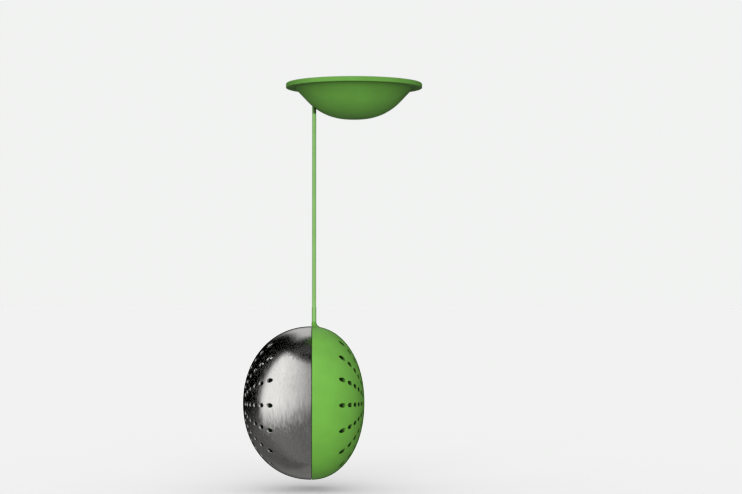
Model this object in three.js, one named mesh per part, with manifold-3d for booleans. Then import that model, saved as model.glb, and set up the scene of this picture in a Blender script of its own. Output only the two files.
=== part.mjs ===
// A tea infuser: a perforated steel half shell and a perforated silicone half shell close into an egg,
// which hangs on a silicone cord from a small silicone drip dish.
// Millimetres, +Z up. The origin is the centre of the dish's flat foot. The egg opens along X: the steel
// half is on the -X side of the seam and the silicone half on the +X side.
import * as THREE from "three";
import { mergeVertices } from "three/addons/utils/BufferGeometryUtils.js";
import Module from "manifold-3d";

// ---- Driving dimensions -------------------------------------------------------------------------------
const EGG_HEIGHT = 60;
const EGG_WIDTH = 47.5; // along Y, across the seam's short way
const STEEL_DEPTH = 26.8; // seam to the tip of the steel half
const SILICONE_DEPTH = 20.7; // seam to the tip of the silicone half
const EGG_FULLNESS = 2.1; // exponent of the egg's outline: 2 is an ellipse, more is fuller
const SEAM_GAP = 0.3; // the narrow shadow line between the two halves

const STEEL_WALL = 0.4;
const SILICONE_WALL = 2.8;
const COLLAR_REACH = 2.6; // how far the silicone collar plugs into the steel half
const COLLAR_WALL = 1.2;
const COLLAR_CLEARANCE = 0.3;

const HOLE_DIAMETER = 1.65; // along its ring
const HOLE_RINGS = 6; // rings of holes round each tip
const HOLE_ROW_STEP = 23; // degrees between the rows that fan out from each tip
const HOLE_ROWS_EACH_SIDE = 3; // rows above, and as many below, the level row at the front and at the back
// Where each half's rings stand, as shares of the egg's outline seen along X, and how far the level rows'
// holes are stretched towards the tip. The other rows' holes are stretched more, as their rings spread out.
const STEEL_HOLES = { firstRing: 0.815, ringStep: 0.103, stretch: 0.85 };
const SILICONE_HOLES = { firstRing: 0.83, ringStep: 0.115, stretch: 1.2 };

const DISH_RADIUS = 26.9; // outside of the flange
const DISH_HEIGHT = 14.1;
const FLANGE_THICKNESS = 1.9;
const FLANGE_TOP_ROUNDING = 0.5;
const FLANGE_BOTTOM_ROUNDING = 0.2;
const BOWL_RADIUS = 23.4; // outside of the bowl, where it meets the flange
const BOWL_SLOPE = 46.4; // degrees from level, of the bowl's straight upper part
const BOWL_ARC = 22; // outside radius of the bowl's round lower part
const DISH_WALL = 1.8;

const CORD_DIAMETER = 1.6;
const CORD_LINKS = 12;
const CORD_TOP = 2; // height of the first bend, just under the bowl
const CORD_LINK_GAP = 0.3;
const CORD_LINK_EDGE = 0.2; // rounding at each link's ends
const CORD_HOLE_CLEARANCE = 0.3;
const CORD_FROM_DISH_AXIS = 15.75;
const CORD_FLARE_RADIUS = 1.9; // fillet where the cord grows out of the silicone half
const BEAD_RADIUS = 2;
const BEAD_CLEARANCE = 0.12; // between the bead and the inside of the bowl
const EGG_TOP = -81.9; // height of the egg's top under the dish's foot

// ---- Derived places ------------------------------------------------------------------------------------
const HALF_HEIGHT = EGG_HEIGHT / 2;
const HALF_WIDTH = EGG_WIDTH / 2;
const CORD_RADIUS = CORD_DIAMETER / 2;
const CORD_X = -CORD_FROM_DISH_AXIS;
const SEAM_X = CORD_X - CORD_RADIUS - SEAM_GAP / 2; // the cord's side is flush with the silicone half's edge
const EGG_CENTRE = new THREE.Vector3(SEAM_X, 0, EGG_TOP - HALF_HEIGHT);
const CORD_BOTTOM = EGG_TOP + CORD_FLARE_RADIUS; // the last link ends where the flare begins
const CORD_PITCH = (CORD_TOP - CORD_BOTTOM) / CORD_LINKS;

// ---- Mesh resolution -----------------------------------------------------------------------------------
const EGG_AROUND = 42;
const EGG_ARC_STEPS = 9;
const HOLE_SIDES = 6;
const DISH_AROUND = 48;
const DISH_ARC_STEPS = 8;
const CORD_AROUND = 12;
const CORD_ARC_STEPS = 4;
const LINK_EDGE_STEPS = 2;

// ---- Materials -----------------------------------------------------------------------------------------
const brushedSteel = new THREE.MeshStandardMaterial({ color: 0xb9b7b5, roughness: 0.32, metalness: 1 });
const greenSilicone = new THREE.MeshStandardMaterial({ color: 0x6cb44b, roughness: 0.55, metalness: 0 });

// ---- Solids ---------------------------------------------------------------------------------------------
const wasm = await Module();
wasm.setup();

function toSolid(geometry) {
  const bare = geometry.clone();
  bare.deleteAttribute("normal");
  bare.deleteAttribute("uv");
  const merged = mergeVertices(bare, 1e-4);
  return new wasm.Manifold(
    new wasm.Mesh({
      numProp: 3,
      vertProperties: merged.attributes.position.array,
      triVerts: new Uint32Array(merged.index.array),
    }),
  );
}

function toGeometry(solid) {
  const { vertProperties, triVerts } = solid.getMesh();
  const geometry = new THREE.BufferGeometry();
  geometry.setAttribute("position", new THREE.BufferAttribute(vertProperties, 3));
  geometry.setIndex(new THREE.BufferAttribute(triVerts, 1));
  geometry.computeVertexNormals();
  return geometry;
}

// A block given by its lowest and highest corners.
function block(low, high) {
  const size = new THREE.Vector3().subVectors(high, low);
  const middle = new THREE.Vector3().addVectors(low, high).multiplyScalar(0.5);
  return new THREE.BoxGeometry(size.x, size.y, size.z).translate(middle.x, middle.y, middle.z);
}

// A round arc as profile points, each (distance from the axis, height). Angles are from straight down.
function arcPoints(centre, radius, fromAngle, toAngle, steps) {
  return Array.from({ length: steps + 1 }, (_, i) => {
    const angle = THREE.MathUtils.lerp(fromAngle, toAngle, i / steps);
    return new THREE.Vector2(centre.x + radius * Math.sin(angle), centre.y - radius * Math.cos(angle));
  });
}

// A solid of revolution about Z from (radius, height) points that run from the bottom to the top.
function turned(points, around) {
  return new THREE.LatheGeometry(points, around).rotateX(Math.PI / 2);
}

// ---- The egg: each half is a dome around the X axis, drawn with the egg's centre at the origin ----------
// The whole egg's skin, drawn in by inset: the steel side's depth at -X and the silicone side's at +X.
function eggSkin(inset) {
  const power = 2 / EGG_FULLNESS;
  const steps = EGG_ARC_STEPS * 2;
  const points = Array.from({ length: steps + 1 }, (_, i) => {
    const angle = (Math.PI * i) / steps;
    const depth = angle < Math.PI / 2 ? STEEL_DEPTH : SILICONE_DEPTH;
    const along = -Math.sign(Math.cos(angle)) * Math.abs(Math.cos(angle)) ** power;
    const out = i === 0 || i === steps ? 0 : Math.sin(angle) ** power;
    return new THREE.Vector2((HALF_HEIGHT - inset) * out, (depth - inset) * along);
  });
  return turned(points, EGG_AROUND)
    .rotateY(Math.PI / 2)
    .scale(1, (HALF_WIDTH - inset) / (HALF_HEIGHT - inset), 1);
}

// Everything between two planes across the egg, used to keep one side of the seam.
function eggSlab(fromX, toX) {
  return toSolid(
    block(
      new THREE.Vector3(fromX, -EGG_HEIGHT, -EGG_HEIGHT),
      new THREE.Vector3(toX, EGG_HEIGHT, EGG_HEIGHT),
    ),
  );
}

// Angles of the rows of holes on the seam's oval: 0 is the front (-Y), 90 degrees the top.
function holeRowAngles() {
  const front = Array.from(
    { length: 2 * HOLE_ROWS_EACH_SIDE + 1 },
    (_, i) => (i - HOLE_ROWS_EACH_SIDE) * HOLE_ROW_STEP,
  );
  const back = front.map((angle) => 180 - angle);
  return [...front, ...back].map((angle) => THREE.MathUtils.degToRad(angle));
}

// The drills for one half: pins along X at every ring of every row, from fromX to toX.
function holeDrills({ firstRing, ringStep, stretch }, fromX, toX) {
  const radius = HOLE_DIAMETER / 2;
  const drills = [];
  for (const angle of holeRowAngles()) {
    const rowLength = Math.hypot(HALF_WIDTH * Math.cos(angle), HALF_HEIGHT * Math.sin(angle));
    const rowStretch = (stretch * rowLength) / HALF_WIDTH;
    for (let ring = 0; ring < HOLE_RINGS; ring++) {
      const share = firstRing - ring * ringStep;
      const y = -HALF_WIDTH * share * Math.cos(angle);
      const z = HALF_HEIGHT * share * Math.sin(angle);
      const drill = new THREE.CylinderGeometry(radius, radius, toX - fromX, HOLE_SIDES);
      drill.rotateZ(Math.PI / 2).scale(1, rowStretch, 1).rotateX(Math.atan2(z, y));
      drill.translate((fromX + toX) / 2, y, z);
      drills.push(toSolid(drill));
    }
  }
  return wasm.Manifold.union(drills);
}

// Thin deep-drawn steel bowl with its rim at the seam.
function steelHalfShell() {
  const wall = toSolid(eggSkin(0)).subtract(toSolid(eggSkin(STEEL_WALL)));
  const half = wall.intersect(eggSlab(-EGG_HEIGHT, -SEAM_GAP / 2));
  return half.subtract(holeDrills(STEEL_HOLES, -STEEL_DEPTH - 1, -1));
}

// A ring that follows the inside of the steel half and plugs into it.
function sealingCollar() {
  const outside = STEEL_WALL + COLLAR_CLEARANCE;
  const ring = toSolid(eggSkin(outside)).subtract(toSolid(eggSkin(outside + COLLAR_WALL)));
  return ring.intersect(eggSlab(-COLLAR_REACH, SILICONE_WALL));
}

// The cord's moulded root: a short stub that flares into the top of the silicone half.
function cordRoot() {
  const fillet = arcPoints(
    new THREE.Vector2(CORD_RADIUS + CORD_FLARE_RADIUS, HALF_HEIGHT + CORD_FLARE_RADIUS),
    CORD_FLARE_RADIUS,
    0,
    -Math.PI / 2,
    CORD_ARC_STEPS,
  );
  const embedded = HALF_HEIGHT - SILICONE_WALL / 2;
  const top = HALF_HEIGHT + CORD_FLARE_RADIUS - CORD_LINK_GAP / 2;
  const points = [
    new THREE.Vector2(0, embedded),
    new THREE.Vector2(CORD_RADIUS + CORD_FLARE_RADIUS, embedded),
    ...fillet.slice(0, -1),
    new THREE.Vector2(CORD_RADIUS, top),
    new THREE.Vector2(0, top),
  ];
  return toSolid(turned(points, CORD_AROUND).translate(CORD_X - SEAM_X, 0, 0));
}

// Thick moulded half with the holes, the collar and the cord's root in one piece.
function siliconeHalfShell() {
  const edge = SEAM_GAP / 2;
  const wall = toSolid(eggSkin(0)).subtract(toSolid(eggSkin(SILICONE_WALL)));
  const drills = holeDrills(SILICONE_HOLES, 1, SILICONE_DEPTH + 1);
  const half = wall.intersect(eggSlab(edge, EGG_HEIGHT)).subtract(drills);
  return half.add(cordRoot().intersect(eggSlab(edge, EGG_HEIGHT))).add(sealingCollar());
}

// ---- The dish ---------------------------------------------------------------------------------------------
// The bowl's section is an arc that starts level at the foot's edge and runs on as a straight slope.
const bowlBase = DISH_HEIGHT - FLANGE_THICKNESS;
const bowlSlope = THREE.MathUtils.degToRad(BOWL_SLOPE);
const bowlArcHeight = BOWL_ARC * (1 - Math.cos(bowlSlope));
const FOOT_RADIUS =
  BOWL_RADIUS - (bowlBase - bowlArcHeight) / Math.tan(bowlSlope) - BOWL_ARC * Math.sin(bowlSlope);
const bowlArcCentre = new THREE.Vector2(FOOT_RADIUS, BOWL_ARC);

function dishProfile() {
  const insideArc = arcPoints(bowlArcCentre, BOWL_ARC - DISH_WALL, bowlSlope, 0, DISH_ARC_STEPS);
  const insideRun = (DISH_HEIGHT - insideArc[0].y) / Math.tan(bowlSlope);
  const under = new THREE.Vector2(DISH_RADIUS - FLANGE_BOTTOM_ROUNDING, bowlBase + FLANGE_BOTTOM_ROUNDING);
  const over = new THREE.Vector2(DISH_RADIUS - FLANGE_TOP_ROUNDING, DISH_HEIGHT - FLANGE_TOP_ROUNDING);
  return [
    new THREE.Vector2(0, 0),
    ...arcPoints(bowlArcCentre, BOWL_ARC, 0, bowlSlope, DISH_ARC_STEPS),
    new THREE.Vector2(BOWL_RADIUS, bowlBase),
    ...arcPoints(under, FLANGE_BOTTOM_ROUNDING, 0, Math.PI / 2, 2),
    ...arcPoints(over, FLANGE_TOP_ROUNDING, Math.PI / 2, Math.PI, 2),
    new THREE.Vector2(insideArc[0].x + insideRun, DISH_HEIGHT),
    ...insideArc,
    new THREE.Vector2(0, DISH_WALL),
  ];
}

function dripDish() {
  const holeRadius = CORD_RADIUS + CORD_HOLE_CLEARANCE;
  const hole = new THREE.CylinderGeometry(holeRadius, holeRadius, 2 * DISH_HEIGHT, CORD_AROUND);
  hole.rotateX(Math.PI / 2).translate(CORD_X, 0, 0);
  return toSolid(turned(dishProfile(), DISH_AROUND)).subtract(toSolid(hole));
}

// ---- The cord ---------------------------------------------------------------------------------------------
// The rounded lower end of a length of cord, its flat at the given height.
function lowerCordEnd(height) {
  const centre = new THREE.Vector2(CORD_RADIUS - CORD_LINK_EDGE, height + CORD_LINK_EDGE);
  const edge = arcPoints(centre, CORD_LINK_EDGE, 0, Math.PI / 2, LINK_EDGE_STEPS);
  return [new THREE.Vector2(0, height), ...edge];
}

// The moulded bead that keeps the cord's upper end in the dish, with the stub that passes through the wall.
function cordEndBead() {
  const reach = BOWL_ARC - DISH_WALL - BEAD_RADIUS - BEAD_CLEARANCE;
  const beadHeight = BOWL_ARC - Math.sqrt(reach ** 2 - (CORD_FROM_DISH_AXIS - FOOT_RADIUS) ** 2);
  const neckAngle = Math.asin(CORD_RADIUS / BEAD_RADIUS);
  const points = [
    ...lowerCordEnd(CORD_TOP + CORD_LINK_GAP / 2),
    ...arcPoints(new THREE.Vector2(0, beadHeight), BEAD_RADIUS, neckAngle, Math.PI, 2 * CORD_ARC_STEPS),
  ];
  return turned(points, CORD_AROUND);
}

// One length of cord, hanging from its upper bend at the origin. Its ends leave a slit for the bend.
function cordLink() {
  const upperEdge = new THREE.Vector2(CORD_RADIUS - CORD_LINK_EDGE, -CORD_LINK_GAP / 2 - CORD_LINK_EDGE);
  const points = [
    ...lowerCordEnd(-CORD_PITCH + CORD_LINK_GAP / 2),
    ...arcPoints(upperEdge, CORD_LINK_EDGE, Math.PI / 2, Math.PI, LINK_EDGE_STEPS),
    new THREE.Vector2(0, -CORD_LINK_GAP / 2),
  ];
  return turned(points, CORD_AROUND);
}

// ---- The assembly -----------------------------------------------------------------------------------------
function named(name, geometry, material) {
  const mesh = new THREE.Mesh(geometry, material);
  mesh.name = name;
  return mesh;
}

const dish = new THREE.Group();
dish.add(named("drip_dish", toGeometry(dripDish()), greenSilicone));

const cord = new THREE.Group();
cord.position.x = CORD_X;
cord.add(named("cord_end_bead", cordEndBead(), greenSilicone));
for (let i = 0; i < CORD_LINKS; i++) {
  const link = named(`cord_link_${String(i + 1).padStart(2, "0")}`, cordLink(), greenSilicone);
  link.position.z = CORD_TOP - i * CORD_PITCH;
  cord.add(link);
}

const egg = new THREE.Group();
egg.position.copy(EGG_CENTRE);
egg.add(named("steel_half_shell", toGeometry(steelHalfShell()), brushedSteel));
egg.add(named("silicone_half_shell", toGeometry(siliconeHalfShell()), greenSilicone));

const teaInfuser = new THREE.Group();
teaInfuser.add(dish, cord, egg);

export default teaInfuser;
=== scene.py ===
import math

import bmesh
import bpy
import numpy as np
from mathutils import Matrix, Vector


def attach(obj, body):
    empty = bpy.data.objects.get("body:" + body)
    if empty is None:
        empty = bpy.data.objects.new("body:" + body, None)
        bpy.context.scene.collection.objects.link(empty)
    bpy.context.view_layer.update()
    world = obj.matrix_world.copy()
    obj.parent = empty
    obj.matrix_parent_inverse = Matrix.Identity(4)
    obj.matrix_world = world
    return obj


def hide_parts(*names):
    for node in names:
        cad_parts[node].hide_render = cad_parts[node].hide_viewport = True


MM = 0.001

# ---- Driving dimensions, in millimetres as in the CAD --------------------------------------------
HALF_HEIGHT = 30.0
HALF_WIDTH = 23.75
STEEL_DEPTH = 26.8
SILICONE_DEPTH = 20.7
FULLNESS = 2.1  # exponent of the egg's outline
HALF_GAP = 0.05  # each half's rim stands this far from the seam plane
EGG_CENTRE = (-16.7, 0.0, -111.9)

HOLE_RADIUS = 0.825  # along its ring
HOLE_RINGS = 6
HOLE_ROW_STEP = 23.0  # degrees between rows
HOLE_ROWS_EACH_SIDE = 3  # of the level row at the front, and of the one at the back

# Each half's side of the seam as the sign of X, the radii of its rounded hole edges and rim, its rings of
# holes as shares of the egg's outline, and how far the holes of its level rows are stretched to the tip.
STEEL_HALF = {
    "side": -1,
    "depth": STEEL_DEPTH,
    "wall": 0.4,
    "hole_edge": 0.15,
    "rim_round": 0.08,
    "first_ring": 0.815,
    "ring_step": 0.103,
    "stretch": 0.85,
}
SILICONE_HALF = {
    "side": 1,
    "depth": SILICONE_DEPTH,
    "wall": 2.8,
    "hole_edge": 0.16,
    "rim_round": 0.3,
    "first_ring": 0.83,
    "ring_step": 0.115,
    "stretch": 1.2,
}

COLLAR_REACH = 2.6  # into the steel half
COLLAR_ROOT = 1.0  # into the silicone half's wall
COLLAR_WALL = 1.2
COLLAR_INSET = 0.7  # from the egg's skin

DISH_RADIUS = 26.9
DISH_HEIGHT = 14.1
FLANGE_THICKNESS = 1.9
BOWL_RADIUS = 23.4
BOWL_SLOPE = math.radians(46.4)  # of the bowl's straight upper part, from level
BOWL_ARC = 22.0  # outside radius of its round lower part
DISH_WALL = 1.8

CORD_RADIUS = 0.8
CORD_X = -15.75
CORD_TOP = 2.0
CORD_BOTTOM = -80.0
CORD_LINKS = 12
CORD_PITCH = (CORD_TOP - CORD_BOTTOM) / CORD_LINKS
FLARE_RADIUS = 1.9  # of the fillet from the cord to the egg
FLARE_SUNK = 1.4  # how deep the flare's body goes under the egg's skin
FLARE_POLE = 1e-4  # radius of the ring that ends the flare at its top and bottom
BEAD_RADIUS = 2.0
BEAD_FILLET = 0.8

# points round each turned or swept piece
DISH_AROUND = 160
COLLAR_AROUND = 140
FLARE_AROUND = 48
BEAD_AROUND = 48
CORD_AROUND = 32

# ---- Camera --------------------------------------------------------------------------------------
CAMERA_PLACE = (EGG_CENTRE[0], -789.0, -71.5)  # in the plane of the seam
CAMERA_PITCH = 1.52  # degrees above level
CAMERA_YAW = 1.698  # degrees to the right
CAMERA_VIEW = 21.0  # degrees across the picture

# ---- Colours, linear, and shading ----------------------------------------------------------------
SILICONE_GREEN = (0.16, 0.43, 0.06)
# painted shade: the dish's green is the egg's silicone made darker, standing in for the dimmer light on the
# dish
DISH_SHADED_GREEN = (0.13, 0.34, 0.055)
# painted sheen: the cord's green is the silicone made paler, standing in for highlights along the thin cord
CORD_SHEEN_GREEN = (0.23, 0.46, 0.14)
STEEL_GREY = (0.66, 0.65, 0.63)
BACKDROP = (0.88, 0.89, 0.88)
# painted shade: the silicone's colour is darkened in holes, creases and under the flange, within these
# reaches
EGG_PAINTED_SHADE_REACH = 3.0  # how far the painted shade reaches into holes and creases, in millimetres
DISH_PAINTED_SHADE_REACH = 8.0

# ---- Stage ----------------------------------------------------------------------------------------
FLOOR_HEIGHT = -146.0
FLOOR_SIZE = 40.0  # metres
KEY_TURN = 3  # degrees to the left of the camera
KEY_DISTANCE = 0.8  # metres
KEY_SIDE = 0.8  # metres
KEY_RADIANCE = 3.3


# ---- Mesh building -------------------------------------------------------------------------------
class Patchwork:
    """Rows of points with their surface normals, and the quads between the rows, welded into one mesh."""

    def __init__(self):
        self.points = []
        self.normals = []
        self.faces = []

    def add_rows(self, rows):
        """Each row is a closed ring of (points, normals); the quads run between consecutive rows."""
        start = len(self.points)
        count = len(rows[0][0])
        for points, normals in rows:
            self.points.extend(points)
            self.normals.extend(normals)
        for r in range(len(rows) - 1):
            low = start + r * count
            high = low + count
            for i in range(count):
                j = (i + 1) % count
                self.faces.append((low + i, low + j, high + j, high + i))

    def build(self, name, material, centre=(0.0, 0.0, 0.0)):
        """One welded, smooth-shaded object whose shading follows the given normals."""
        bm = bmesh.new()
        layer = bm.verts.layers.float_vector.new("surface_normal")
        shift = np.array(centre)
        verts = []
        for point, normal in zip(self.points, self.normals):
            vert = bm.verts.new((np.array(point) + shift) * MM)
            vert[layer] = Vector(normal)
            verts.append(vert)
        for face in self.faces:
            bm.faces.new([verts[i] for i in face])
        bmesh.ops.remove_doubles(bm, verts=bm.verts, dist=1e-7)
        bmesh.ops.dissolve_degenerate(bm, dist=1e-9, edges=bm.edges)
        bmesh.ops.recalc_face_normals(bm, faces=bm.faces)
        mesh = bpy.data.meshes.new(name)
        bm.to_mesh(mesh)
        bm.free()
        mesh.shade_smooth()
        normals = np.zeros(len(mesh.vertices) * 3, np.float32)
        mesh.attributes["surface_normal"].data.foreach_get("vector", normals)
        mesh.normals_split_custom_set_from_vertices(normals.reshape(-1, 3).tolist())
        mesh.attributes.remove(mesh.attributes["surface_normal"])
        mesh.materials.append(material)
        obj = bpy.data.objects.new(name, mesh)
        bpy.context.scene.collection.objects.link(obj)
        return obj


def unit(vectors):
    return vectors / np.linalg.norm(vectors, axis=-1, keepdims=True)


def turned_rows(profile, around):
    """Rings about the Z axis through an (x, z, outward x, outward z) profile."""
    turn = np.linspace(0, 2 * math.pi, around, endpoint=False)
    cos, sin, flat = np.cos(turn), np.sin(turn), np.ones(around)
    rows = []
    for radius, height, out, up in profile:
        points = np.stack([radius * cos, radius * sin, height * flat], 1)
        normals = unit(np.stack([out * cos, out * sin, up * flat], 1))
        rows.append((points, normals))
    return rows


def arc(centre, radius, start, end, steps, inward=False):
    """Profile points along an arc about centre, angles in degrees from straight down."""
    sign = -1 if inward else 1
    points = []
    for angle in np.radians(np.linspace(start, end, steps + 1)):
        out, up = math.sin(angle), -math.cos(angle)
        points.append((centre[0] + radius * out, centre[1] + radius * up, sign * out, sign * up))
    return points


# ---- The egg's skin, with the egg's centre at the origin -----------------------------------------
def skin(y, z, inset, depth, side):
    """Points and outward normals of the egg's skin, drawn in by inset, at places (y, z) seen along X."""
    a, w, h = depth - inset, HALF_WIDTH - inset, HALF_HEIGHT - inset
    share = np.sqrt((y / w) ** 2 + (z / h) ** 2)
    reach = np.clip(1 - share**FULLNESS, 0, 1) ** (1 / FULLNESS)
    lean = np.maximum(share, 1e-6) ** (FULLNESS - 2)
    points = np.stack([side * a * reach, y, z], 1)
    normals = np.stack([side * reach ** (FULLNESS - 1) / a, lean * y / w**2, lean * z / h**2], 1)
    return points, unit(normals)


def on_oval(share, angles, inset=0.0):
    """(y, z) on the seam's oval, drawn in by inset and scaled by share. Angle 0 is the front."""
    y = -(HALF_WIDTH - inset) * share * np.cos(angles)
    z = (HALF_HEIGHT - inset) * share * np.sin(angles)
    return y, z


def inside_wall(y, z, wall):
    """(y, z) moved in, where they stand beyond it, to just within the oval of the half's inside."""
    share = np.hypot(y / (HALF_WIDTH - wall), z / (HALF_HEIGHT - wall))
    keep = np.minimum(1, 0.999 / share)
    return y * keep, z * keep


def ray_angles():
    """Where the rows of holes stand round the seam's oval, in rising order from under the front."""
    steps = np.arange(-HOLE_ROWS_EACH_SIDE, HOLE_ROWS_EACH_SIDE + 1)
    front = np.radians(HOLE_ROW_STEP * steps)
    return np.concatenate([front, front + math.pi])


def ray_bounds(rays):
    """The angles halfway between neighbouring rows of holes: (start, end) for each row."""
    following = np.append(rays[1:], rays[0] + 2 * math.pi)
    ends = (rays + following) / 2
    starts = np.append(ends[-1] - 2 * math.pi, ends[:-1])
    return starts, ends


def hole_border(start, ray, end, low, high):
    """The border of one hole's cell, as (y, z), in the order of the hole's own points."""
    across = np.concatenate([np.linspace(start, ray, 5), np.linspace(ray, end, 5)[1:]])
    outward = np.linspace(low, high, 5)
    angles = np.concatenate([np.full(4, end), across[:0:-1], np.full(4, start), across[:-1]])
    shares = np.concatenate([outward[:-1], np.full(8, high), outward[:0:-1], np.full(8, low)])
    return on_oval(shares, angles)


def hole_oval(ray, share, radius, stretch):
    """(y, z) on a hole's oval and the directions (y, z) out of it, matched to its cell's border."""
    corners = np.radians([-30, 30, 150, 210, 330])
    turn = np.concatenate(
        [np.linspace(a, b, n, endpoint=False) for a, b, n in zip(corners, corners[1:], (4, 8, 4, 8))]
    )
    outward = np.array([-HALF_WIDTH * math.cos(ray), HALF_HEIGHT * math.sin(ray)])
    row_length = np.linalg.norm(outward)
    outward /= row_length
    stretch *= row_length / HALF_WIDTH
    along = np.array([outward[1], -outward[0]])
    cos, sin = np.cos(turn)[:, None], np.sin(turn)[:, None]
    offset = radius * (cos * along + stretch * sin * outward)
    away = unit(stretch * cos * along + sin * outward)
    y, z = on_oval(share, ray)
    return y + offset[:, 0], z + offset[:, 1], away


def hole_rows(border, ray, share, stretch, edge, depth, wall, side):
    """Rings from a cell's border on the outside, in through its hole, and out to the border on the inside."""
    wall_y, wall_z, away = hole_oval(ray, share, HOLE_RADIUS, stretch)
    inward = np.stack([np.zeros(len(away)), -away[:, 0], -away[:, 1]], 1)

    def grown(amount):
        return wall_y + amount * away[:, 0], wall_z + amount * away[:, 1]

    ring_y, ring_z = grown(edge)
    spread = [
        (border[0] + f * (ring_y - border[0]), border[1] + f * (ring_z - border[1]))
        for f in (0, 0.35, 0.7, 1)
    ]
    rows = [skin(y, z, 0, depth, side) for y, z in spread]

    for turn in np.radians([30, 60]):
        points, normals = skin(*grown(edge * (1 - math.sin(turn))), 0, depth, side)
        points[:, 0] -= side * edge * (1 - math.cos(turn))
        rows.append((points, unit(math.cos(turn) * normals + math.sin(turn) * inward)))

    outer, _ = skin(wall_y, wall_z, 0, depth, side)
    inner, _ = skin(wall_y, wall_z, wall, depth, side)
    outer[:, 0] -= side * edge
    inner[:, 0] += side * edge / 2
    rows += [(outer, inward), (inner, inward)]

    for y, z in spread[::-1]:
        points, normals = skin(*inside_wall(y, z, wall), wall, depth, side)
        rows.append((points, -normals))
    return rows


def cap_rows(angles, share, inset, depth, side, flip):
    """Rings from the innermost cells to the tip of the half."""
    rows = []
    for f in np.linspace(1, 0, 8):
        points, normals = skin(*on_oval(share * f, angles), inset, depth, side)
        rows.append((points, -normals if flip else normals))
    return rows


def band_rows(angles, share, round_radius, depth, wall, side):
    """Rings from the outermost cells down to the rim, round its edges, and back up the inside."""
    face = np.tile([-side, 0.0, 0.0], (len(angles), 1))
    rows = []

    tilt = math.asin(share ** (FULLNESS / 2))
    tilt_end = math.acos(((HALF_GAP + round_radius) / depth) ** (FULLNESS / 2))
    for t in np.linspace(tilt, tilt_end, 18):
        rows.append(skin(*on_oval(math.sin(t) ** (2 / FULLNESS), angles), 0, depth, side))
    rim_share = math.sin(tilt_end) ** (2 / FULLNESS)
    rim_normals = rows[-1][1]
    for turn in np.radians([22.5, 45, 67.5, 90]):
        inset = round_radius * (1 - math.cos(turn))
        y, z = on_oval(rim_share, angles, inset)
        x = np.full(len(angles), side * (HALF_GAP + round_radius * (1 - math.sin(turn))))
        rows.append((np.stack([x, y, z], 1), unit(math.cos(turn) * rim_normals + math.sin(turn) * face)))

    small = min(0.1, wall / 4)
    inner_y, inner_z = inside_wall(*on_oval(share, angles), wall)
    inner_share = np.hypot(inner_y / (HALF_WIDTH - wall), inner_z / (HALF_HEIGHT - wall))
    inner_angles = np.arctan2(inner_z / (HALF_HEIGHT - wall), -inner_y / (HALF_WIDTH - wall))
    y, z = on_oval(1, inner_angles, wall - small)
    rows.append((np.stack([np.full(len(y), side * HALF_GAP), y, z], 1), face))

    inner_tilt = np.arcsin(inner_share ** (FULLNESS / 2))
    inner_end = math.acos(((HALF_GAP + small) / (depth - wall)) ** (FULLNESS / 2))
    for f in np.linspace(1, 0, 10):
        t = inner_tilt + f * (inner_end - inner_tilt)
        places = on_oval(np.sin(t) ** (2 / FULLNESS), inner_angles, wall)
        points, normals = skin(*places, wall, depth, side)
        rows.append((points, -normals))
    return rows


def half_shell(name, material, side, depth, wall, hole_edge, rim_round, first_ring, ring_step, stretch):
    """One perforated half of the egg."""
    patch = Patchwork()
    rays = ray_angles()
    starts, ends = ray_bounds(rays)
    half_step = ring_step / 2
    for ring in range(HOLE_RINGS):
        share = first_ring - ring * ring_step
        for start, ray, end in zip(starts, rays, ends):
            border = hole_border(start, ray, end, share - half_step, share + half_step)
            patch.add_rows(hole_rows(border, ray, share, stretch, hole_edge, depth, wall, side))
    angles = np.concatenate(
        [
            np.concatenate([np.linspace(s, r, 4, endpoint=False), np.linspace(r, e, 4, endpoint=False)])
            for s, r, e in zip(starts, rays, ends)
        ]
    )
    last = first_ring - (HOLE_RINGS - 0.5) * ring_step
    patch.add_rows(cap_rows(angles, last, 0, depth, side, flip=False))
    patch.add_rows(cap_rows(angles, last, wall, depth, side, flip=True))
    patch.add_rows(band_rows(angles, first_ring + half_step, rim_round, depth, wall, side))
    return patch.build(name, material, EGG_CENTRE)


def collar_ring(name, material):
    """The silicone lip that plugs into the steel half: a ring that follows the inside of the steel."""
    angles = np.linspace(0, 2 * math.pi, COLLAR_AROUND, endpoint=False)
    tip = COLLAR_WALL / 2
    inset_middle = COLLAR_INSET + tip
    outline = [(COLLAR_ROOT, -tip, 0, -1)]
    outline += [(-x, -tip, 0, -1) for x in np.linspace(0, COLLAR_REACH - tip, 5)]
    for turn in np.radians(np.linspace(-60, 90, 6)):
        along, inward = -math.cos(turn), math.sin(turn)
        outline.append((tip - COLLAR_REACH + tip * along, tip * inward, along, inward))
    outline += [(-x, tip, 0, 1) for x in np.linspace(COLLAR_REACH - tip, 0, 5)]
    outline += [(COLLAR_ROOT, tip, 0, 1), (COLLAR_ROOT, -tip, 0, -1)]
    rows = []
    for x, inward, along, facing in outline:
        share = (1 - abs(min(x, 0) / STEEL_DEPTH) ** FULLNESS) ** (1 / FULLNESS)
        y, z = on_oval(share, angles, inset_middle + inward)
        radial = unit(np.stack([y / HALF_WIDTH**2, z / HALF_HEIGHT**2], 1))
        flat = np.ones(len(y))
        normals = np.stack([along * flat, -facing * radial[:, 0], -facing * radial[:, 1]], 1)
        rows.append((np.stack([x * flat, y, z], 1), unit(normals)))
    patch = Patchwork()
    patch.add_rows(rows)
    return patch.build(name, material, EGG_CENTRE)


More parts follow.
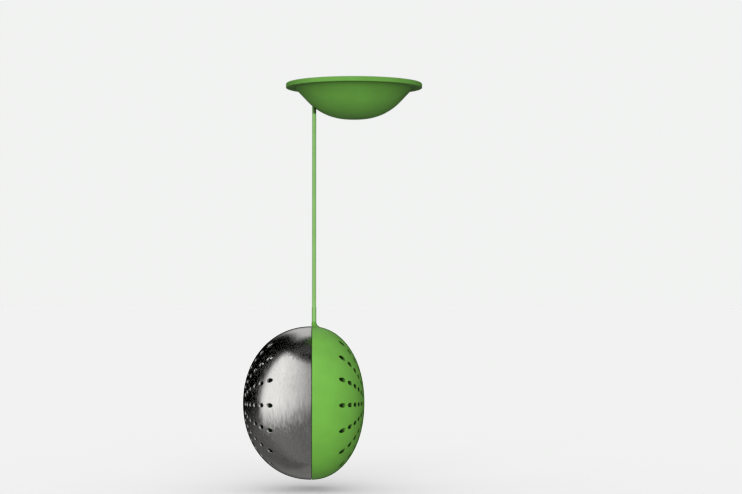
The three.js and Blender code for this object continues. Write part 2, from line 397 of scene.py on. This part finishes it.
# ---- The cord ------------------------------------------------------------------------------------
def cord_root(name, material):
    """The cord's moulded root: a fillet that runs out onto the silicone half, cut flush at its rim."""
    turn = np.linspace(0, 2 * math.pi, FLARE_AROUND, endpoint=False)
    middle = CORD_X - EGG_CENTRE[0]
    reach = CORD_RADIUS + FLARE_RADIUS

    def ring(radius, height, up):
        """One ring about the cord; height is above the egg's skin there, or fixed when up is None."""
        x = np.maximum(middle + radius * np.cos(turn), HALF_GAP)
        y = radius * np.sin(turn)
        share = (1 - (x / SILICONE_DEPTH) ** FULLNESS) ** (2 / FULLNESS) - (y / HALF_WIDTH) ** 2
        skin_z = HALF_HEIGHT * np.sqrt(share)
        z = np.full(FLARE_AROUND, HALF_HEIGHT + FLARE_RADIUS) if up is None else skin_z + height
        out = np.stack([np.cos(turn), np.sin(turn), np.full(FLARE_AROUND, up or 0.0)], 1)
        out[middle + radius * np.cos(turn) < HALF_GAP] = (-1.0, 0.0, 0.0)
        return np.stack([x, y, z], 1), unit(out)

    rows = [ring(FLARE_POLE, -FLARE_SUNK, -5.0), ring(reach, -FLARE_SUNK, -5.0), ring(reach, -0.3, 0.0)]
    for angle in np.radians(np.linspace(0, 80, 9)):
        radius = reach - FLARE_RADIUS * math.sin(angle)
        height = FLARE_RADIUS * (1 - math.cos(angle))
        rows.append(ring(radius, height, 1 / max(math.tan(angle), 0.05)))
    rows += [ring(CORD_RADIUS, 0, None), ring(FLARE_POLE, 0, None)]
    patch = Patchwork()
    patch.add_rows(rows)
    return patch.build(name, material, EGG_CENTRE)


def cord_length(name, material, top, bottom):
    """A length of cord between two bends. Its round ends keep it joined to the next when they bend."""
    profile = arc((0, bottom), CORD_RADIUS, 0, 90, 6)
    profile += [(CORD_RADIUS, z, 1, 0) for z in np.linspace(bottom, top, 9)[1:-1]]
    profile += arc((0, top), CORD_RADIUS, 90, 180, 6)
    patch = Patchwork()
    patch.add_rows(turned_rows(profile, CORD_AROUND))
    return patch.build(name, material, (CORD_X, 0, 0))


def bead_and_neck(name, material, height):
    """The ball that stops the cord inside the dish, with a filleted neck that goes down through the wall."""
    reach = BEAD_RADIUS + BEAD_FILLET
    meet = math.degrees(math.asin((CORD_RADIUS + BEAD_FILLET) / reach))
    drop = reach * math.cos(math.radians(meet))
    profile = [(0, CORD_TOP, 0, -1), (CORD_RADIUS - 0.01, CORD_TOP, 0, -1), (CORD_RADIUS, CORD_TOP, 1, 0)]
    neck = (CORD_RADIUS + BEAD_FILLET, height - drop)
    profile += arc(neck, BEAD_FILLET, 270, 180 + meet, 6, inward=True)[:-1]
    profile += arc((0, height), BEAD_RADIUS, meet, 180, 24)
    patch = Patchwork()
    patch.add_rows(turned_rows(profile, BEAD_AROUND))
    return patch.build(name, material, (CORD_X, 0, 0))


# ---- The dish ------------------------------------------------------------------------------------
def foot_radius():
    """The radius of the flat foot: the bowl's arc starts level at its edge and ends as steep as the slope."""
    slope_rise = DISH_HEIGHT - FLANGE_THICKNESS - BOWL_ARC * (1 - math.cos(BOWL_SLOPE))
    return BOWL_RADIUS - slope_rise / math.tan(BOWL_SLOPE) - BOWL_ARC * math.sin(BOWL_SLOPE)


def dish_profile():
    """The dish's section, from the foot's centre out, over the flange and back down the inside."""
    seat = DISH_HEIGHT - FLANGE_THICKNESS
    slope = math.degrees(BOWL_SLOPE)
    half_turn = math.tan(BOWL_SLOPE / 2)
    centre = (foot_radius(), BOWL_ARC)
    out, up = math.sin(BOWL_SLOPE), math.cos(BOWL_SLOPE)
    crease, under, over, lip = 0.25, 0.2, 0.5, 0.9  # radii of the roundings
    profile = [(r, 0, 0, -1) for r in (0, 0.8, 1.6)]

    def straight(start, end):
        """Points between two profile points that share their normal."""
        return [tuple(np.array(start) * (1 - f) + np.array(end) * f) for f in np.linspace(0, 1, 8)[1:-1]]

    outside = arc(centre, BOWL_ARC, 0, slope, 24)
    corner = arc((BOWL_RADIUS + crease * half_turn, seat - crease), crease, 180 + slope, 180, 5, inward=True)
    profile += outside + straight(outside[-1], corner[0]) + corner

    profile += arc((DISH_RADIUS - under, seat + under), under, 0, 90, 5)
    profile += arc((DISH_RADIUS - over, DISH_HEIGHT - over), over, 90, 180, 7)

    inside = arc(centre, BOWL_ARC - DISH_WALL, slope, 0, 24, inward=True)
    mouth = inside[0][0] + (DISH_HEIGHT - inside[0][1]) * up / out
    rounding = arc((mouth + lip * half_turn, DISH_HEIGHT - lip), lip, 180, 180 + slope, 6)
    profile += rounding + straight(rounding[-1], inside[0]) + inside
    profile += [(r, DISH_WALL, 0, 1) for r in (1.6, 0.8, 0)]
    return profile


def dish(name, material):
    patch = Patchwork()
    patch.add_rows(turned_rows(dish_profile(), DISH_AROUND))
    return patch.build(name, material)


# ---- Materials -----------------------------------------------------------------------------------
class Nodes:
    """A short way to add and wire shader nodes."""

    def __init__(self, tree):
        self.tree = tree
        self.tree.nodes.clear()

    def add(self, kind, inputs=None, **settings):
        node = self.tree.nodes.new(kind)
        for key, value in settings.items():
            setattr(node, key, value)
        for key, value in (inputs or {}).items():
            if isinstance(value, bpy.types.NodeSocket):
                self.tree.links.new(value, node.inputs[key])
            else:
                node.inputs[key].default_value = value
        return node

    def noise(self, coords, scale, detail=2.0, stretch=None):
        if stretch:
            coords = self.add("ShaderNodeMapping", {"Vector": coords, "Scale": stretch}).outputs[0]
        inputs = {"Vector": coords, "Scale": scale, "Detail": detail}
        return self.add("ShaderNodeTexNoise", inputs).outputs["Fac"]

    def remap(self, value, low, high, from_low=0.3, from_high=0.7):
        inputs = {"Value": value, "From Min": from_low, "From Max": from_high, "To Min": low, "To Max": high}
        return self.add("ShaderNodeMapRange", inputs).outputs[0]

    def math(self, operation, a, b=0.0):
        return self.add("ShaderNodeMath", {0: a, 1: b}, operation=operation).outputs[0]

    def scaled(self, vector, factor):
        node = self.add("ShaderNodeVectorMath", {0: vector, "Scale": factor}, operation="SCALE")
        return node.outputs[0]


def new_material(name):
    material = bpy.data.materials.new(name)
    material.use_nodes = True
    return material, Nodes(material.node_tree)


def silicone_material(name, green, painted_shade_reach):
    """Matt moulded silicone: soft light under the skin, mottling, a fine grain and painted shade in its holes
    and creases.
    """
    material, nodes = new_material(name)
    place = nodes.add("ShaderNodeTexCoord").outputs["Object"]
    mottle = nodes.remap(nodes.noise(place, 160, 4), 0.95, 1.05)
    # painted shade: ambient occlusion darkens the colour where the surroundings close in
    open_air = nodes.add("ShaderNodeAmbientOcclusion", {"Distance": painted_shade_reach * MM}).outputs["AO"]
    painted_shade = nodes.remap(open_air, 0.05, 1.0, from_low=0.6, from_high=1.0)
    grain = nodes.noise(place, 5200, 2)
    bump = nodes.add("ShaderNodeBump", {"Strength": 0.12, "Distance": 0.00004, "Height": grain})
    surface = nodes.add(
        "ShaderNodeBsdfPrincipled",
        {
            "Base Color": nodes.scaled(green, nodes.math("MULTIPLY", mottle, painted_shade)),
            "Roughness": nodes.remap(nodes.noise(place, 700, 3), 0.46, 0.58),
            "IOR": 1.41,
            "Subsurface Weight": 0.1,
            "Subsurface Radius": (0.6, 1.0, 0.3),
            "Subsurface Scale": 0.0004,
            "Normal": bump.outputs[0],
        },
    )
    nodes.add("ShaderNodeOutputMaterial", {"Surface": surface.outputs[0]})
    return material


def cord_material():
    """Thin silicone in a paler green that is a painted sheen, without light under the skin, so that the
    cord's lengths join unseen.
    """
    material, nodes = new_material("cord_silicone")
    place = nodes.add("ShaderNodeTexCoord").outputs["Object"]
    color = nodes.scaled(CORD_SHEEN_GREEN, nodes.remap(nodes.noise(place, 160, 4), 0.95, 1.05))
    surface = nodes.add(
        "ShaderNodeBsdfPrincipled",
        {"Base Color": color, "Roughness": 0.5, "IOR": 1.41},
    )
    nodes.add("ShaderNodeOutputMaterial", {"Surface": surface.outputs[0]})
    return material


def steel_material():
    """Stainless steel brushed up and down: streaks along Z and reflections drawn out sideways."""
    material, nodes = new_material("brushed_steel")
    place = nodes.add("ShaderNodeTexCoord").outputs["Object"]
    streaks = nodes.noise(place, 1.0, 2, stretch=(1800, 1800, 260))
    patches = nodes.noise(place, 1.0, 2, stretch=(420, 420, 70))
    tone = nodes.math("MULTIPLY", nodes.remap(streaks, 0.88, 1.08), nodes.remap(patches, 0.95, 1.05))
    brush = nodes.add(
        "ShaderNodeVectorTransform",
        {"Vector": (0.0, 0.0, 1.0)},
        vector_type="VECTOR",
        convert_from="OBJECT",
        convert_to="WORLD",
    ).outputs[0]
    normal = nodes.add("ShaderNodeNewGeometry").outputs["Normal"]
    across = nodes.add("ShaderNodeVectorMath", {0: normal, 1: brush}, operation="CROSS_PRODUCT")
    lean = nodes.scaled(brush, nodes.remap(streaks, -0.035, 0.035))
    leaning = nodes.add("ShaderNodeVectorMath", {0: normal, 1: lean}, operation="ADD").outputs[0]
    leaning = nodes.add("ShaderNodeVectorMath", {0: leaning}, operation="NORMALIZE")
    surface = nodes.add(
        "ShaderNodeBsdfPrincipled",
        {
            "Base Color": nodes.scaled(STEEL_GREY, tone),
            "Metallic": 1.0,
            "Roughness": nodes.remap(streaks, 0.12, 0.28),
            "Anisotropic": 0.35,
            "Tangent": across.outputs[0],
            "Normal": leaning.outputs[0],
        },
    )
    nodes.add("ShaderNodeOutputMaterial", {"Surface": surface.outputs[0]})
    return material


# ---- The object ----------------------------------------------------------------------------------
def finish_piece(piece, body, slot, *nodes):
    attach(piece, body)
    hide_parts(*nodes)


def build_egg(steel, silicone):
    shell = half_shell("steel_shell", steel, **STEEL_HALF)
    finish_piece(shell, "steel_half", "brushed_steel", "steel_half_shell")
    shell = half_shell("silicone_shell", silicone, **SILICONE_HALF)
    finish_piece(shell, "silicone_half", "green_silicone", "silicone_half_shell")
    collar = collar_ring("silicone_collar", silicone)
    finish_piece(collar, "silicone_half", "green_silicone")
    root = cord_root("silicone_cord_root", silicone)
    finish_piece(root, "silicone_half", "green_silicone")


def build_cord(silicone):
    """One length on each link of the cord, from bend to bend."""
    for i in range(CORD_LINKS):
        top = CORD_TOP - i * CORD_PITCH
        length = cord_length(f"cord_length_{i + 1:02d}", silicone, top, top - CORD_PITCH)
        finish_piece(length, f"cord_{i + 1:02d}", "green_silicone", f"cord_link_{i + 1:02d}")


def build_dish(silicone):
    plate = dish("dish", silicone)
    finish_piece(plate, "dish", "green_silicone", "drip_dish")
    reach = BOWL_ARC - DISH_WALL - BEAD_RADIUS
    height = BOWL_ARC - math.sqrt(reach**2 - (abs(CORD_X) - foot_radius()) ** 2)
    bead = bead_and_neck("cord_bead", silicone, height)
    finish_piece(bead, "dish", "green_silicone", "cord_end_bead")


# ---- The studio ----------------------------------------------------------------------------------
def build_world():
    """Pale for the camera, soft all-round light, and a studio of soft boxes that only reflections see."""
    world = bpy.data.worlds.new("studio")
    bpy.context.scene.world = world
    world.use_nodes = True
    world.cycles.sampling_method = "NONE"
    nodes = Nodes(world.node_tree)
    rays = nodes.add("ShaderNodeLightPath").outputs
    look = nodes.add("ShaderNodeTexCoord").outputs["Generated"]
    axes = nodes.add("ShaderNodeSeparateXYZ", {0: look}).outputs
    ambient = nodes.remap(axes["Z"], 0.0, 0.8, -0.8, 1.0)
    sides = {0: rays["Is Glossy Ray"], 2: ambient, 3: reflected_studio(nodes, axes)}
    light = nodes.add("ShaderNodeMix", sides).outputs[0]
    shade = nodes.add("ShaderNodeCombineColor", {0: light, 1: light, 2: light})
    color = nodes.add(
        "ShaderNodeMix",
        {"Factor": rays["Is Camera Ray"], "A": shade.outputs[0], "B": (*BACKDROP, 1.0)},
        data_type="RGBA",
    )
    background = nodes.add("ShaderNodeBackground", {"Color": color.outputs[2]})
    nodes.add("ShaderNodeOutputWorld", {"Surface": background.outputs[0]})


def reflected_studio(nodes, axes):
    """The brightness that polished metal reflects, from the direction's turn to the left and its rise."""
    degree = 180 / math.pi
    left = nodes.math("MULTIPLY", axes["X"], -1.0)
    front = nodes.math("MULTIPLY", axes["Y"], -1.0)
    turn = nodes.math("MULTIPLY", nodes.math("ARCTAN2", left, front), degree)
    rise = nodes.math("MULTIPLY", nodes.math("ARCSINE", axes["Z"]), degree)

    def fade(value, start, end):
        inputs = {"Value": value, "From Min": start, "From Max": end, "To Min": 0.0, "To Max": 1.0}
        return nodes.add("ShaderNodeMapRange", inputs, interpolation_type="SMOOTHSTEP").outputs[0]

    def product(level, *masks):
        for mask in masks:
            level = nodes.math("MULTIPLY", level, mask)
        return level

    # a large soft box to the left with sloping edges, brighter towards its far side
    lean = nodes.math("MULTIPLY", nodes.math("MINIMUM", turn, 45.0), 0.2)
    top = fade(nodes.math("SUBTRACT", rise, lean), 53, 48)
    bottom = fade(nodes.math("ADD", rise, lean), -25, 9)
    slope = nodes.math("MULTIPLY", nodes.math("MAXIMUM", rise, 0.0), 0.12)
    far_side = fade(nodes.math("ADD", turn, slope), 93, 79)
    box = product(1.2, fade(turn, -40, 58), far_side, bottom, top)
    # a window high up behind the object
    off_middle = nodes.math("ABSOLUTE", left)
    behind = product(0.7, fade(off_middle, 0.33, 0.12), fade(front, 0.0, -0.15))
    window = product(behind, fade(rise, 12, 30), fade(rise, 82, 62))
    # the ground, dimmer straight ahead and towards the back
    aside = nodes.math("ABSOLUTE", turn)
    ground = product(0.2, fade(rise, -2, -26), nodes.remap(aside, 0.8, 1.0, 10.0, 50.0))
    ground = nodes.math("MULTIPLY", ground, nodes.remap(aside, 1.0, 0.55, 60.0, 100.0))
    # a faint ceiling, and a faint lift of the ground straight behind
    ceiling = product(0.06, fade(rise, 60, 72), fade(turn, 95, 40))
    ground_behind = product(0.09, fade(aside, 130, 165), fade(rise, -24, -42))
    total = box
    for part in (window, ground, ceiling, ground_behind):
        total = nodes.math("ADD", total, part)
    return total


def build_key():
    """A square soft box that faces the egg from the front, level with it."""
    light = bpy.data.lights.new("key", "AREA")
    light.shape = "SQUARE"
    light.size = KEY_SIDE
    light.energy = KEY_RADIANCE * math.pi * KEY_SIDE**2
    obj = bpy.data.objects.new("key", light)
    turn = math.radians(KEY_TURN)
    away = Vector((-math.sin(turn), -math.cos(turn), 0.0))
    obj.location = Vector(EGG_CENTRE) * MM + away * KEY_DISTANCE
    obj.rotation_euler = away.to_track_quat("Z", "Y").to_euler()
    obj.visible_camera = False
    obj.visible_glossy = False
    bpy.context.scene.collection.objects.link(obj)


def build_floor():
    bpy.ops.mesh.primitive_plane_add(size=FLOOR_SIZE, location=(0, 0, FLOOR_HEIGHT * MM))
    floor = bpy.context.object
    floor.name = "floor"
    material, nodes = new_material("floor_white")
    surface = nodes.add("ShaderNodeBsdfDiffuse", {"Color": (0.8, 0.8, 0.8, 1.0)})
    nodes.add("ShaderNodeOutputMaterial", {"Surface": surface.outputs[0]})
    floor.data.materials.append(material)
    floor.is_shadow_catcher = True
    floor.visible_glossy = False
    floor.visible_diffuse = False
    floor.visible_shadow = False


def build_camera():
    data = bpy.data.cameras.new("camera")
    data.sensor_width = 36
    data.lens = data.sensor_width / 2 / math.tan(math.radians(CAMERA_VIEW / 2))
    camera = bpy.data.objects.new("camera", data)
    camera.location = Vector(CAMERA_PLACE) * MM
    camera.rotation_euler = (math.radians(90 + CAMERA_PITCH), 0, -math.radians(CAMERA_YAW))
    bpy.context.scene.collection.objects.link(camera)
    bpy.context.scene.camera = camera


def build_stage():
    build_world()
    build_floor()
    build_key()
    build_camera()
    bpy.context.scene.view_settings.view_transform = "Standard"


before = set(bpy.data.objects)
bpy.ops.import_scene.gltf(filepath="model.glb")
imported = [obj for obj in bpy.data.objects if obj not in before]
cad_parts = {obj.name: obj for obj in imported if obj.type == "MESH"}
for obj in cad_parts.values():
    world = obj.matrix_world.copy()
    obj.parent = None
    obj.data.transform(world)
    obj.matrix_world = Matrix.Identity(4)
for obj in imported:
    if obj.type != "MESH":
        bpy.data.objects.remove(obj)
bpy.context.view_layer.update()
build_egg(steel_material(), silicone_material("green_silicone", SILICONE_GREEN, EGG_PAINTED_SHADE_REACH))
build_cord(cord_material())
build_dish(silicone_material("dish_silicone", DISH_SHADED_GREEN, DISH_PAINTED_SHADE_REACH))
build_stage()
